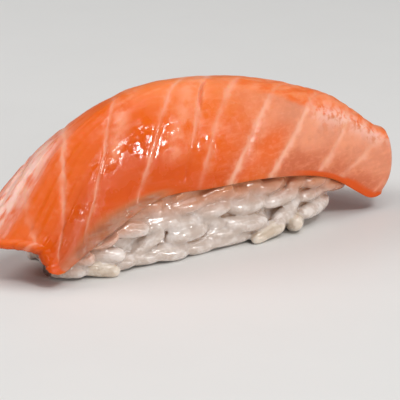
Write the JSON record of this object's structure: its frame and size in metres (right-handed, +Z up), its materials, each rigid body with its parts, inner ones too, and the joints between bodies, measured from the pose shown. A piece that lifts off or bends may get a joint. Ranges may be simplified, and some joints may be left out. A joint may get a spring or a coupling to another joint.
{
  "type": "salmon nigiri",
  "caption": "Slice of raw salmon with slanting fat lines, draped over a hand-pressed oblong heap of cooked rice whose grains show below the slice.",
  "frame": {"origin": "on the resting surface, under the middle of the whole piece", "axes": "+X along the piece, towards the end where the slice is blunt; +Y across it, away from the side where the rice shows most; +Z up"},
  "size_m": [0.0809, 0.0233, 0.0282],
  "materials": {
    "cooked_rice": "moist, slightly translucent cooked rice with a soft gloss",
    "raw_salmon": "wet, translucent orange flesh with pale slanting fat lines"
  },
  "bodies": {
    "root": {"rice": "cooked_rice", "salmon": "raw_salmon"}
  },
  "joints": []
}
